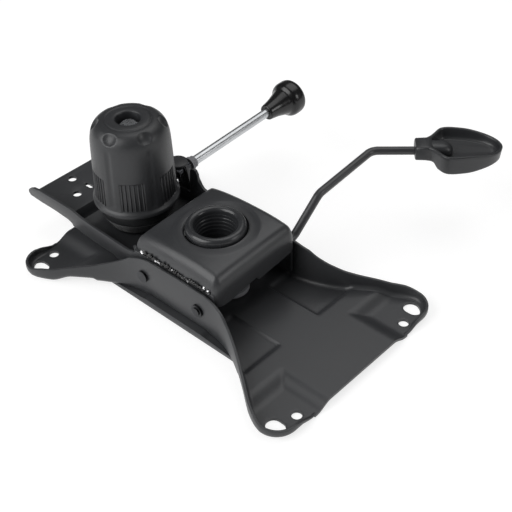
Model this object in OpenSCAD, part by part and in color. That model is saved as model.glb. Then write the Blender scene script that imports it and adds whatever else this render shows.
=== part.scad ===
// Chair push back mechanism, standing on its seat plate as it is shown.
// Sizes are in millimetres. The origin is the middle of the four seat slots, on the seat face.
// X runs to the rear of the chair, Y to the side of the two levers, Z from the seat to the column.

/* [Seat plate] */
// Slot to slot along X
slot_span_x = 260; // [240:1:280]
// Slot to slot along Y
slot_span_y = 160; // [150:1:166]
// Width of a seat slot
slot_width = 12; // [8:0.5:13]
// Length of a seat slot, end to end
slot_length = 15.5; // [13:0.5:17]
// Small hole to small hole along X
small_span_x = 268.6; // [266:0.2:270]
// Small hole to small hole along Y
small_span_y = 124.8; // [122:0.2:127]
// Small hole across
small_hole_d = 8; // [5:0.5:9]
// Thickness of the plate's sheet
sheet = 2.3; // [2:0.1:2.6]
// Height of the deck above the seat face
deck_rise = 5; // [4.6:0.1:5]
// Half width of the plate at its waist
waist_half = 48; // [47:0.5:49]

/* [Bracket] */
// Gap between bracket wall and plate flange
wall_gap = 1.4; // [1.3:0.1:1.6]
// Height of the bracket floor's top
floor_z = 25; // [24.5:0.1:25.2]
// Height of the front tray's top
tray_z = 33; // [32:0.1:33.5]

/* [Pins] */
// Place of the pivot along X
pivot_x = 23.5; // [22:0.5:24]
// Place of the stop pin along X
stop_x = -36.6; // [-38:0.2:-36]
// Height of both pins
pin_z = 24.5; // [24:0.1:25]
// Pin across
pin_d = 8; // [7:0.5:8]
// Furthest tilt of the bracket, in degrees
tilt_max = 7; // [4:0.5:7]
// Running clearance, radial
run_fit = 0.05; // [0.02:0.01:0.08]
// Clearance of a seated piece, radial
seat_fit = 0.02; // [0.01:0.01:0.05]

/* [Column socket] */
// Place of the socket along X
socket_x = -2; // [-3:0.5:0]
// Column bore across
column_d = 28; // [27.5:0.1:28.5]
// Height of the lip's top
lip_z = 67; // [66:0.2:68]

/* [Tension] */
// Place of the tension bolt along X
bolt_x = -93.5; // [-94:0.5:-93]
// Bolt across
bolt_d = 12; // [10:0.5:12]
// Knob across its skirt
knob_d = 71.2; // [70:0.2:72]
// Height of the knob's top
knob_top = 122.7; // [121:0.1:124]
// Spring wire across
wire_d = 6; // [5:0.2:6.4]
// Turns of the spring
coil_turns = 5.5; // [4:0.5:7]

/* [Levers] */
// Lever rods across
rod_d = 7; // [6:0.1:7.2]
// Place of the gas lever's rod along X
gas_x = 30; // [29.5:0.1:30.5]
// Height of the gas lever's pivot
gas_z = 37; // [36.8:0.1:37.2]
// Place of the lock rod along X
lock_x = -86; // [-86.4:0.1:-85.6]
// Height of the lock rod
lock_z = 53.8; // [53.6:0.1:54]
// Lock rod across
lock_rod_d = 8; // [7:0.1:8.2]
// Lock knob across
lock_knob_d = 32; // [30:0.5:34]

/* [Hidden] */
$fn = 64;

steel_black = [0.16, 0.16, 0.17];
steel_bright = [0.72, 0.72, 0.74];
plastic_dark = [0.2, 0.2, 0.21];
nylon_grey = [0.62, 0.62, 0.63];

flange_in = waist_half - sheet;
wall_out = flange_in - wall_gap;
wall_in = wall_out - sheet;
deck_top = deck_rise + sheet;
pin_r = pin_d / 2;
pin_hole_r = pin_r + run_fit;
rod_r = rod_d / 2;
lock_r = lock_rod_d / 2;
column_r = column_d / 2;
bolt_r = bolt_d / 2;
knob_r = knob_d / 2;
stop_arm = pivot_x - stop_x;
tray_front = -180;
seam_z = 44.3;
cover_bottom = seam_z + 0.3;
head_r = 5.3;

// Turned pieces along Y, from y0 to y1
module bar_y(x, z, r, y0, y1) {
  translate([x, y1, z]) rotate([90, 0, 0]) cylinder(r = r, h = y1 - y0);
}

// Plate drawn in X and Z, standing from y0 to y1
module sheet_y(points, y0, y1) {
  translate([0, y1, 0]) rotate([90, 0, 0]) linear_extrude(y1 - y0) polygon(points);
}

// Plate drawn in Y and Z, standing from x0 to x1
module sheet_x(points, x0, x1) {
  translate([x0, 0, 0]) rotate([90, 0, 90]) linear_extrude(x1 - x0) polygon(points);
}

// Outline of one side of the seat plate: place, inward direction
p0 = [36, waist_half];
p1 = [74, waist_half + 2];
p2 = [104, waist_half + 42];
p3 = [126.3, waist_half + 44.5];
corner_r = 18;
corner_c = [p3[0], p3[1] - corner_r];
end_x = p3[0] + corner_r;

function bez(t) = pow(1 - t, 3) * p0 + 3 * pow(1 - t, 2) * t * p1
  + 3 * (1 - t) * t * t * p2 + pow(t, 3) * p3;
function bez_dir(t) = pow(1 - t, 2) * (p1 - p0) + 2 * (1 - t) * t * (p2 - p1)
  + t * t * (p3 - p2);
function inward(d) = [d[1], -d[0]] / norm(d);

curve_n = 10;
half_path = concat(
  [[[0, waist_half], [0, -1]], [[18, waist_half], [0, -1]], [[30, waist_half], [0, -1]]],
  [for (i = [0:curve_n - 1]) [bez(i / curve_n), inward(bez_dir(i / curve_n))]],
  [for (a = [90:-22.5:0]) [corner_c + corner_r * [cos(a), sin(a)], -[cos(a), sin(a)]]],
  [[[end_x, 64.5], [-1, 0]], [[end_x, 58], [-1, 0]], [[end_x, 52.5], [-1, 0]]]);
half_n = len(half_path);
function flip(s) = [[-s[0][0], s[0][1]], [-s[1][0], s[1][1]]];
path = concat([for (i = [half_n - 1:-1:1]) flip(half_path[i])], half_path);
path_n = len(path);

// Flange top, foot and bend along the outline
function top_of(p) = let (x = abs(p[0]), y = p[1])
  x > p3[0] + 0.01 ? (y > 66 ? 8.6 : lookup(y, [[52.5, 2.85], [58, 4.2], [64.5, 6.8], [66, 7.4]]))
  : lookup(x, [[0, 43], [30, 42.4], [40, 40], [50, 36.5], [56, 32], [65, 27], [76, 22],
    [86, 19], [96, 16.5], [106, 13.5], [116, 12.5], [126.3, 9.6]]);
function foot_of(p) = lookup(abs(p[0]), [[101, deck_rise], [108, 0]]);
function bend_of(p) = max(sheet + 0.3, min(6, top_of(p) - foot_of(p) - 0.1));
function inset(s, d) = s[0] + s[1] * d;

// One station of the flange: a ring of points from the foot round to the foot again
thin = sheet - 0.04;
function station(s) = let (f = foot_of(s[0]), t = top_of(s[0]), r = bend_of(s[0]), q = r - thin)
  concat(
    [for (a = [0:30:90]) let (o = inset(s, r - r * sin(a))) [o[0], o[1], f + r - r * cos(a)]],
    [let (o = inset(s, 0)) [o[0], o[1], t], let (o = inset(s, thin)) [o[0], o[1], t]],
    [for (a = [90:-30:0]) let (o = inset(s, r - q * sin(a))) [o[0], o[1], f + r - q * cos(a)]]);
ring_n = 10;

module flange() {
  points = [for (s = path) each station(s)];
  sides = [for (i = [0:path_n - 2], j = [0:ring_n - 1]) let (k = (j + 1) % ring_n,
    a = i * ring_n + j, b = i * ring_n + k, c = a + ring_n, d = b + ring_n)
    each [[a, c, b], [b, c, d]]];
  first = [[for (j = [0:ring_n - 1]) j]];
  last = [[for (j = [ring_n - 1:-1:0]) (path_n - 1) * ring_n + j]];
  polyhedron(points = points, faces = concat(sides, first, last));
}

// Whole inner outline, used to trim deck and ears
function rim_at(i) = inset(path[i], bend_of(path[i][0]) - 0.8);
function rim_points() = concat([[0.13 - end_x, 54.1]],
  [for (i = [0:path_n - 2]) (rim_at(i) + rim_at(i + 1)) / 2], [[end_x - 0.13, 54.1]]);
module inner_outline(h) {
  up = rim_points();
  down = [for (i = [len(up) - 1:-1:0]) [up[i][0], -up[i][1]]];
  linear_extrude(h) polygon(concat(up, down));
}

module slot_hole(x, y) {
  run = slot_length / 2 - slot_width / 2;
  translate([x, y, -1]) {
    translate([-run, 0, 0]) cylinder(d = slot_width, h = 12);
    translate([run, 0, 0]) cylinder(d = slot_width, h = 12);
    translate([-run, 0.01 - slot_width / 2, 0]) cube([2 * run, slot_width - 0.02, 12]);
  }
}

module ear_parts() {
  z0 = deck_rise;
  z1 = deck_top;
  translate([106.5, 46.5, 0]) cube([40, 60, sheet]);
  translate([140.7, 51.2, 0]) cube([5, 2.3, sheet + 0.67]);
  sheet_x([[36, z0], [39, z0], [45.5, 0], [48, 0], [48, sheet], [46.6, sheet],
    [40, z1], [36, z1]], 104, 150);
  sheet_y([[100, z0], [102, z0], [106.5, 0], [109, 0], [109, sheet], [107.6, sheet],
    [103, z1], [100, z1]], 38, 100);
}

module seat_plate() {
  color(steel_black) difference() {
    union() {
      flange();
      mirror([0, 1, 0]) flange();
      intersection() {
        translate([0, 0, deck_rise]) inner_outline(sheet);
        union() {
          translate([-102.5, -100, 0]) cube([205, 200, 20]);
          translate([-150, -38.5, 0]) cube([300, 77, 20]);
        }
      }
      intersection() {
        inner_outline(20);
        union() for (a = [0, 1], b = [0, 1]) mirror([a, 0, 0]) mirror([0, b, 0]) ear_parts();
      }
    }
    for (a = [-1, 1], b = [-1, 1]) {
      slot_hole(a * slot_span_x / 2, b * slot_span_y / 2);
      translate([a * small_span_x / 2, b * small_span_y / 2, -1])
        cylinder(d = small_hole_d, h = 12);
    }
    translate([bolt_x, 0, 0]) cylinder(r = bolt_r + 1.5, h = 20);
    bar_y(pivot_x, pin_z, pin_r + seat_fit, -60, 60);
    bar_y(stop_x, pin_z, pin_r + seat_fit, -60, 60);
    gas_notch();
  }
}

// Open notch for the gas lever's rod in the far flange
module gas_notch() {
  r = rod_r + 1.8;
  nx = gas_x + 0.8;
  nz = gas_z - 0.4;
  bar_y(nx, nz, r, waist_half - 6, waist_half + 2);
  translate([nx - r, waist_half - 6, nz]) cube([2 * r, 8, 20]);
}

module pivot_axle() {
  color(steel_bright) difference() {
    union() {
      bar_y(pivot_x, pin_z, pin_r, -waist_half - 1, waist_half + 3);
      bar_y(pivot_x, pin_z, head_r, -waist_half - 2, -waist_half);
      bar_y(pivot_x, pin_z, 3.4, -waist_half - 3, -waist_half - 1.9);
    }
    difference() {
      bar_y(pivot_x, pin_z, pin_r + 1, waist_half + 0.6, waist_half + 1.6);
      bar_y(pivot_x, pin_z, pin_r - 0.7, waist_half + 0.5, waist_half + 1.7);
    }
  }
}

// Open snap ring about an axis along Y
module snap_ring(x, z, r_in, r_out, y0, y1, open) {
  difference() {
    bar_y(x, z, r_out, y0, y1);
    bar_y(x, z, r_in, y0 - 1, y1 + 1);
    translate([x - open / 2, y0 - 1, z]) cube([open, y1 - y0 + 2, r_out + 1]);
  }
}

module pivot_clip() {
  color(steel_bright)
    snap_ring(pivot_x, pin_z, pin_r - 0.68, 5.6, waist_half + 0.65, waist_half + 1.55, 3.4);
}

module stop_pin() {
  color(steel_bright) {
    bar_y(stop_x, pin_z, pin_r, -waist_half - 1, waist_half + 2.1);
    bar_y(stop_x, pin_z, head_r - 0.2, -waist_half - 2.2, -waist_half - 0.8);
    bar_y(stop_x, pin_z, head_r - 0.6, waist_half + 2, waist_half + 3.2);
  }
}

module stop_pin_washer() {
  color(steel_bright) difference() {
    bar_y(stop_x, pin_z, 5.9, waist_half + 0.95, waist_half + 1.95);
    bar_y(stop_x, pin_z, pin_r + seat_fit, waist_half - 1, waist_half + 3);
  }
}

// Curved slot that lets the bracket tilt round the stop pin
module stop_slot() {
  r = pin_r + 0.3;
  translate([pivot_x, 60, pin_z]) rotate([90, 0, 0]) {
    rotate([0, 0, 180]) rotate_extrude(angle = tilt_max)
      translate([stop_arm - r, 0]) square([2 * r, 120]);
    rotate([0, 0, 180.2]) translate([stop_arm, 0, 0]) cylinder(r = r + 0.04, h = 120);
    rotate([0, 0, 179.8 + tilt_max]) translate([stop_arm, 0, 0])
      cylinder(r = r + 0.04, h = 120);
  }
}

wall_low = [[40 - sheet - 0.3, 12.5], [20, 9.5], [-44, 9.5], [-60, 13.5], [-77, 22.4],
  [-95, floor_z - sheet], [-116, 24], [-132, 29.3], [-148, tray_z - sheet - 0.4],
  [-167, tray_z - sheet - 0.6], [-181, tray_z - sheet], [-183.3, 33]];
wall_high = [[-183, 35.5], [-181, 37.6], [-176, 40.2], [-166, 41.7], [-127, 42], [-115, 39.4],
  [-99, 38], [-75, 37]];
near_high = [[-58, 36.5], [-50, 38.5], [-46, seam_z], [40 - sheet - 0.3, seam_z]];
far_high = [[-74.2, 50], [-73.5, 58], [-71.8, 61.4], [-69, 62.7], [-66.6, 61.7], [-64.9, 58.5],
  [-64.5, 52.8], [-58.7, 47.4], [-50, 45], [-46, seam_z], [40 - sheet - 0.3, seam_z]];

module tilt_bracket() {
  color(steel_black) difference() {
    union() {
      sheet_y(concat(wall_low, wall_high, near_high), -wall_out, -wall_in);
      sheet_y(concat(wall_low, wall_high, far_high), wall_in, wall_out);
      translate([-127, -wall_in - 0.5, floor_z - sheet])
        cube([80, 2 * wall_in + 1, sheet]);
      translate([tray_front, -wall_in - 0.5, tray_z - sheet])
        cube([-133.5 - tray_front, 2 * wall_in + 1, sheet]);
      sheet_y([[-135, tray_z - sheet], [-133.4, tray_z - sheet], [-128.4, floor_z - sheet],
        [-126, floor_z - sheet], [-126, floor_z], [-127.2, floor_z], [-132.2, tray_z],
        [-135, tray_z]], -wall_in - 0.5, wall_in + 0.5);
    }
    stop_slot();
    bar_y(pivot_x, pin_z, 6, -60, 60);
    bar_y(gas_x, gas_z, 5, wall_in - 1, wall_out + 1);
    translate([bolt_x, 0, floor_z - 5]) cylinder(r = bolt_r + 1.4, h = 10);
    translate([-170, -7.6, 20]) cylinder(d = 7.5, h = 20);
    translate([-149.8, -19, 20]) cylinder(d = 7.5, h = 20);
    translate([-154, -4.4, 20]) cylinder(d = 4, h = 20);
    translate([-154, -6.38, 20]) cube([5, 3.96, 20]);
    translate([-149, -4.4, 20]) cylinder(d = 4, h = 20);
  }
}

module pivot_bush(s) {
  color(nylon_grey) difference() {
    union() {
      bar_y(pivot_x, pin_z, 6 - seat_fit, s > 0 ? wall_in : -wall_out - 1,
        s > 0 ? wall_out + 1 : -wall_in);
      bar_y(pivot_x, pin_z, 7.2, s > 0 ? wall_out : -wall_out - 1.1,
        s > 0 ? wall_out + 1.1 : -wall_out);
    }
    bar_y(pivot_x, pin_z, pin_hole_r, -60, 60);
  }
}
module pivot_bush_near() { pivot_bush(-1); }
module pivot_bush_far() { pivot_bush(1); }

// Bush that the gas lever's rod rocks in
module lever_bush() {
  color(nylon_grey) difference() {
    union() {
      bar_y(gas_x, gas_z, 5 - seat_fit, wall_in - 0.5, wall_out + 0.5);
      bar_y(gas_x, gas_z, 6.2, wall_in - 1.1, wall_in);
    }
    bar_y(gas_x, gas_z, rod_r + 0.2, wall_in - 5, wall_out + 5);
  }
}

// Crowned cover over the socket and pivot
cover_top = [[-49, 39], [-49, 51], [-48, 54], [-46, 55.6], [-35, 57.9], [-23, 59.5], [-8, 60.4],
  [10, 60.5], [22, 60.2], [31, 59.6], [36, 58.2], [38.8, 55.4], [40, 51.5], [40, 30]];
cover_in = [[-49 + sheet, 20], [-49 + sheet, 50.4], [-45, 53.2], [-35, 55.5], [-23, 57.1],
  [-8, 58], [10, 58.1], [22, 57.8], [30.4, 57.2], [34.6, 56], [36.7, 54], [40 - sheet, 50.9],
  [40 - sheet, 20]];
module cover_across(half, top, r, low) {
  sheet_x(concat([[-half, low]], [for (a = [180:-15:90]) [-half + r + r * cos(a),
    top - r + r * sin(a)]], [for (a = [90:-15:0]) [half - r + r * cos(a),
    top - r + r * sin(a)]], [[half, low]]), -60, 60);
}
pad_z = 61.3;
module box_cover() {
  color(steel_black) difference() {
    union() {
      intersection() {
        sheet_y(concat(cover_top, [[-49, 30]]), -50, 50);
        cover_across(wall_out, 61, 8, 20);
      }
      translate([socket_x, 0, 50]) cylinder(r = 33.5, h = pad_z - 50);
    }
    intersection() {
      sheet_y(cover_in, -50, 50);
      cover_across(wall_out - sheet, 61 - sheet, 8 - sheet, 10);
    }
    translate([socket_x, 0, 40]) cylinder(r = 31.5, h = pad_z - sheet - 40);
    translate([socket_x, 0, 40]) cylinder(r = column_r + 3 + seat_fit, h = 40);
    translate([-46.7, -60, 0]) cube([46.7 + 40 - sheet, 120, cover_bottom]);
    translate([-60, -60, 0]) cube([14, 120, 39]);
    translate([-60, wall_out - sheet - 0.3, 0]) cube([14, 20, 45.4]);
    translate([-60, -wall_out - 10, 0]) cube([14, sheet + 10.3, 45.4]);
    sheet_x([[-60, 20], [60, 20], [60, 38.4], [40, 37], [19, 34.8], [4, 33.1], [1, 33.1],
      [-1.5, 36.5], [-17, 34.4], [-31, 32.3], [-45, 33.2], [-60, 34]], 36, 60);
  }
}

module column_socket() {
  z0 = 20;
  r = column_r;
  color(steel_black) translate([socket_x, 0, 0]) rotate_extrude() polygon([
    [r - 0.9, z0], [r + 3, z0], [r + 3, pad_z], [r + 10, pad_z], [r + 10, pad_z + 2.8],
    [r + 9.2, lip_z - 1.2], [r + 7.4, lip_z], [r + 4.6, lip_z], [r + 3.4, lip_z - 0.7],
    [r + 2.9, lip_z - 2.2], [r + 2.9, lip_z - 5], [r + 1.4, lip_z - 5], [r + 1.4, lip_z - 9],
    [r, lip_z - 10], [r, 30]]);
}

// Ragged weld in the seam between bracket wall and cover
module weld_bead(s) {
  y = s * (wall_out + 0.8);
  z = seam_z + 0.5;
  color([0.1, 0.1, 0.1]) difference() {
    union() {
      translate([-40, y, z]) rotate([0, 90, 0]) cylinder(r = 0.8, h = 74, $fn = 10);
      for (i = [0:11]) translate([-37 + i * 6.3, y - s * 0.3, z + 0.25 * sin(i * 97)])
        rotate([0, 90, 0]) cylinder(r = 1.15 + 0.15 * sin(i * 61), h = 3.4 + sin(i * 41),
          center = true, $fn = 10);
    }
    translate([-60, s > 0 ? wall_out - 10 : -wall_out, 0]) cube([120, 10, 80]);
  }
}
module weld_bead_near() { weld_bead(-1); }
module weld_bead_far() { weld_bead(1); }

// Disc-topped post that the lock rod slides through
module lock_guide() {
  y0 = wall_out;
  color(steel_black) difference() {
    union() {
      sheet_y([[-90, 28], [-76, 28], [-75, 36], [-79, 54], [-80.6, lock_z + lock_r + 1], [-91, lock_z + lock_r + 1],
        [-91.5, 40]], y0, y0 + 2.6);
      translate([-90.4, 44.4, lock_z + lock_r + 0.45]) cylinder(r = 8.4, h = 1.8);
      bar_y(lock_x, lock_z, lock_r + 2, y0 - 0.6, y0 + 3.6);
    }
    lock_way() bar_y(lock_x, lock_z, lock_r + run_fit, 0, 100);
  }
}

clip_z = 115.6;
module tension_bolt() {
  color(steel_bright) difference() {
    translate([bolt_x, 0, 0]) {
      translate([0, 0, 1.2]) cylinder(r = 11, h = 3.45);
      translate([0, 0, 4]) cylinder(r = bolt_r, h = 113.6);
      translate([0, 0, 117.59]) cylinder(r = bolt_r - 0.8, h = 0.8);
    }
    translate([bolt_x, 0, 0]) difference() {
      translate([0, 0, clip_z - 0.05]) cylinder(r = bolt_r + 1, h = 1);
      translate([0, 0, clip_z - 0.3]) cylinder(r = bolt_r - 0.8, h = 2);
    }
  }
}

module bolt_end_clip() {
  color(steel_bright) translate([bolt_x, 0, clip_z]) difference() {
    cylinder(r = bolt_r + 1.3, h = 0.9);
    translate([0, 0, -1]) cylinder(r = bolt_r - 0.78, h = 3);
    translate([-1.8, 0, -1]) cube([3.6, 10, 3]);
  }
}

// Ribbed cup that the spring stands in
module spring_cup() {
  b = floor_z;
  color(plastic_dark) translate([bolt_x, 0, 0]) rotate_extrude() polygon([
    [bolt_r + run_fit, b], [12, b], [12, b + 3], [24.5, b + 3], [25.5, b + 4], [25.5, b + 5],
    [26.6, b + 5.2], [26.6, b + 6.2], [27.8, b + 6.4], [27.8, b + 8], [28.9, b + 8.2],
    [28.9, b + 9.8], [29.9, b + 10], [29.9, b + 11.6], [30.6, b + 12], [30.6, b + 24.4],
    [28.6, b + 24.4], [28.6, b + 14], [26, b + 9], [23.5, b + 6], [bolt_r + run_fit, b + 6]]);
}

// Coil spring as one tube along a helix
spring_r = 17;
spring_low = floor_z + 6;
spring_high = 94;
coil_pitch = (spring_high - spring_low - wire_d - 0.8) / coil_turns;
coil_steps = 20;
function coil_at(t) = [spring_r * cos(360 * t), spring_r * sin(360 * t),
  spring_low + 0.4 + wire_d / 2 + coil_pitch * t];
coil_gap = coil_pitch * cos(atan(coil_pitch / (2 * PI * spring_r))) - wire_d;
echo(least_gap_between_spring_turns = coil_gap);

module tension_spring() {
  n = round(coil_turns * coil_steps);
  sides = 8;
  tilt = atan(coil_pitch / (2 * PI * spring_r));
  points = [for (i = [0:n]) let (a = 360 * i / coil_steps, c = coil_at(i / coil_steps),
    u = [cos(a), sin(a), 0], w = [sin(a) * sin(tilt), -cos(a) * sin(tilt), cos(tilt)])
    each [for (j = [0:sides - 1]) c + wire_d / 2 * (cos(360 * j / sides) * u
      + sin(360 * j / sides) * w)]];
  skin = [for (i = [0:n - 1], j = [0:sides - 1]) let (k = (j + 1) % sides,
    a = i * sides + j, b = i * sides + k, c = a + sides, d = b + sides)
    each [[a, b, c], [b, d, c]]];
  first = [[for (j = [sides - 1:-1:0]) j]];
  last = [[for (j = [0:sides - 1]) n * sides + j]];
  color(steel_bright) translate([bolt_x, 0, 0])
    polyhedron(points = points, faces = concat(skin, first, last));
}

washer_z = spring_high;
washer_h = 2.5;
hub_z = washer_z + washer_h;
module thrust_washer() {
  color(steel_bright) translate([bolt_x, 0, washer_z]) difference() {
    cylinder(r = 20, h = washer_h);
    translate([0, 0, -1]) cylinder(r = bolt_r + run_fit, h = 5);
  }
}

nut_z = 101;
nut_h = 9.5;
nut_r = 9.4;
module tension_knob() {
  t = knob_top;
  color(plastic_dark) translate([bolt_x, 0, 0]) difference() {
    rotate_extrude() polygon([
      [knob_r - 3.2, 49.6], [knob_r - 0.6, 49.6], [knob_r, 50.2], [knob_r, 52.6],
      [knob_r - 0.9, 53.8], [knob_r - 2.1, 54.6], [knob_r - 2.6, 75], [knob_r - 3.3, 97],
      [knob_r - 3.7, 106], [knob_r - 4.4, 111], [knob_r - 5.6, 115], [knob_r - 7.6, 118.2],
      [knob_r - 10.4, 120.6], [knob_r - 13.6, t - 0.7], [19.4, t - 0.4], [18.9, t - 1],
      [18.1, t - 1], [17.6, t - 0.4], [16.6, t], [11.2, t], [10, t - 0.8],
      [10, nut_z + nut_h + 0.3],
      [bolt_r + 4, nut_z], [bolt_r + 1, nut_z], [bolt_r + 1, hub_z], [20, hub_z],
      [25, hub_z + 1], [knob_r - 7, 96], [knob_r - 5.4, 80], [knob_r - 4.4, 66],
      [knob_r - 4.2, 54]]);
    for (i = [0:5]) rotate([0, 0, 45 + 60 * i]) translate([knob_r - 4.2, 0, 121.6])
      sphere(r = 6.4, $fn = 32);
    translate([0, 0, nut_z]) cylinder(r = nut_r + 0.3, h = 30, $fn = 6);
  }
}

module knob_nut() {
  color(steel_bright) translate([bolt_x, 0, nut_z]) difference() {
    cylinder(r = nut_r, h = nut_h, $fn = 6);
    translate([0, 0, -1]) cylinder(r = bolt_r + run_fit, h = 30);
  }
}

// Gas lever rod: its corner points, then the way it runs to the paddle
gas_bends = [[gas_x, 53.55, gas_z], [gas_x, 84.6, 62.2], [gas_x, 151.7, 68.7]];
gas_inner = [gas_x, wall_in - 21.6, gas_z];
paddle_turn = 41;
paddle_way = [cos(paddle_turn), sin(paddle_turn), 0];
collar_at = 35.2;
rod_sunk = 19.8;
gas_end = gas_bends[2] + (collar_at + rod_sunk) * paddle_way;
bend_r = 12;
bend_swell = 0.03;
lap = 0.3;
function unit(v) = v / norm(v);
function bend_angle(a, v, b) = acos(unit(v - a) * unit(b - v));
function bend_start(a, v, b) = v - unit(v - a) * bend_r * tan(bend_angle(a, v, b) / 2);
function bend_end(a, v, b) = v + unit(b - v) * bend_r * tan(bend_angle(a, v, b) / 2);

// Straight round bar between two points
module bar_between(a, b, r) {
  d = unit(b - a);
  translate(a - lap * d) rotate([0, acos(d[2]), atan2(d[1], d[0])])
    cylinder(r = r, h = norm(b - a) + 2 * lap);
}

// Round bend at corner v between the points a and b
module bar_bend(a, v, b) {
  d = unit(v - a);
  n = unit(cross(d, unit(b - v)));
  i = cross(n, d);
  c = bend_start(a, v, b) + bend_r * i;
  multmatrix([[-i[0], d[0], n[0], c[0]], [-i[1], d[1], n[1], c[1]], [-i[2], d[2], n[2], c[2]]])
    rotate_extrude(angle = bend_angle(a, v, b)) translate([bend_r, 0])
      circle(r = rod_r + bend_swell);
}

module gas_lever_rod() {
  q = concat([gas_inner], gas_bends, [gas_end]);
  color(steel_black) {
    for (k = [1:3]) bar_bend(q[k - 1], q[k], q[k + 1]);
    bar_between(q[0], bend_start(q[0], q[1], q[2]), rod_r);
    for (k = [1:2]) bar_between(bend_end(q[k - 1], q[k], q[k + 1]),
      bend_start(q[k], q[k + 1], q[k + 2]), rod_r);
    bar_between(bend_end(q[2], q[3], q[4]), q[4], rod_r);
  }
}

// Leaf-shaped paddle with a hollow face: place along its axis, half width
paddle_half = [[0, 8.5], [11, 8.5], [14, 11], [17, 15], [21, 20.5], [24, 22.8], [28, 23.6],
  [34, 23.3], [46, 21], [59, 16.5], [66, 11.5], [70, 6], [71.5, 1.5]];
function leaf_at(p, d, s) = [min(p[0], 71.5 - d), s * max(0.5, p[1] - d)];
function leaf(d) = concat([for (p = paddle_half) leaf_at(p, d, 1)],
  [for (k = [len(paddle_half) - 1:-1:0]) leaf_at(paddle_half[k], d, -1)]);
paddle_up = 8.4;
paddle_down = 8.6;
module lever_paddle() {
  color(plastic_dark) translate(gas_bends[2] + collar_at * paddle_way)
    rotate([0, 0, paddle_turn]) difference() {
      union() {
        difference() {
          union() {
            translate([0, 0, -1.5]) linear_extrude(paddle_up + 1.5) polygon(leaf(0));
            translate([0.3, 0, -paddle_down]) linear_extrude(paddle_down) polygon(leaf(1.4));
          }
          difference() {
            translate([0, 0, -2]) linear_extrude(12) polygon(leaf(2.6));
            translate([-5, -40, -10]) cube([18, 80, 40]);
          }
        }
        translate([8, 0, 0]) rotate([0, 90, 0]) cylinder(r = 7.8, h = 19);
        translate([27, 0, 0]) rotate([0, 90, 0]) cylinder(r1 = 7.8, r2 = 3.8, h = 4.2);
      }
      translate([-6, -40, -5 - 20]) cube([18.4, 80, 20]);
      translate([-2, 0, 0]) rotate([0, 90, 0])
        cylinder(r = rod_r + seat_fit, h = rod_sunk + 2.6);
    }
}

// Nylon pad that lifts to the column's valve button
pad_x = 11;
pad_low = deck_top + 1.7;
pad_h = 3.6;
module release_pad() {
  color(nylon_grey) difference() {
    union() {
      translate([pad_x, 0, pad_low]) cylinder(r = 15, h = pad_h);
      translate([13.9, -6, pad_low]) cube([4.4, wall_in - 2, pad_h]);
      translate([14.2, wall_in - 21, pad_low]) cube([3.8, 13, gas_z + 2 - pad_low]);
      translate([14.2, wall_in - 21, gas_z - 2]) cube([16, 13, 4]);
      bar_y(gas_x, gas_z, 5.4, wall_in - 24, wall_in - 4);
    }
    bar_y(gas_x, gas_z, rod_r + seat_fit, wall_in - 22.1, wall_out + 15.7);
    translate([pad_x, 0, pad_low + 21.4]) sphere(r = 19);
  }
}

module lever_clip() {
  color(steel_bright) snap_ring(gas_x, gas_z, rod_r + seat_fit, 5.4, wall_in - 2.8, wall_in - 1.8, 3);
}

lock_in = 36.8;
lock_out = 161;
lock_rise = 2.7;
module lock_way() {
  translate([lock_x, 45, lock_z]) rotate([lock_rise, 0, 0]) translate([-lock_x, -45, -lock_z])
    children();
}
module lock_rod() {
  color(steel_bright) lock_way() bar_y(lock_x, lock_z, lock_r, lock_in, lock_out);
}

module lock_ferrule() {
  color(nylon_grey) lock_way() difference() {
    union() {
      bar_y(lock_x, lock_z, lock_r + 2, wall_out + 8.8, wall_out + 11.2);
      bar_y(lock_x, lock_z, lock_r + 1.2, wall_out + 11.1, wall_out + 14.5);
    }
    bar_y(lock_x, lock_z, lock_r + seat_fit, 0, 100);
  }
}

module lock_rod_clip() {
  color(steel_bright) lock_way() snap_ring(lock_x, lock_z, lock_r + seat_fit,
    lock_r + 1.5, 37.2, 38.1, 8);
}

module lock_knob() {
  r = lock_knob_d / 2;
  color([0.05, 0.05, 0.05]) lock_way() translate([lock_x, lock_out - 11, lock_z])
    rotate([-90, 0, 0]) rotate_extrude() polygon([[lock_r + seat_fit, 0], [6.3, 0], [7.1, 1],
      [7.6, 4], [8.8, 10], [10.2, 15], [11.7, 20], [12.4, 22], [r - 1.2, 24.2], [r - 0.2, 26],
      [r, 28], [r, 33], [r - 0.9, 35.6], [r - 3.6, 37.6], [7, 38.8], [0, 39.2], [0, 11.4],
      [lock_r + seat_fit, 11.4]]);
}

seat_plate();
pivot_axle();
pivot_clip();
stop_pin();
stop_pin_washer();
tilt_bracket();
box_cover();
column_socket();
weld_bead_near();
weld_bead_far();
pivot_bush_near();
pivot_bush_far();
lever_bush();
lock_guide();
tension_bolt();
bolt_end_clip();
spring_cup();
tension_spring();
thrust_washer();
tension_knob();
knob_nut();
gas_lever_rod();
lever_paddle();
release_pad();
lever_clip();
lock_rod();
lock_knob();
lock_ferrule();
lock_rod_clip();
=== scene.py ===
import math
import bmesh
import bpy
from mathutils import Matrix, Vector
from mathutils.geometry import delaunay_2d_cdt


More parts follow.
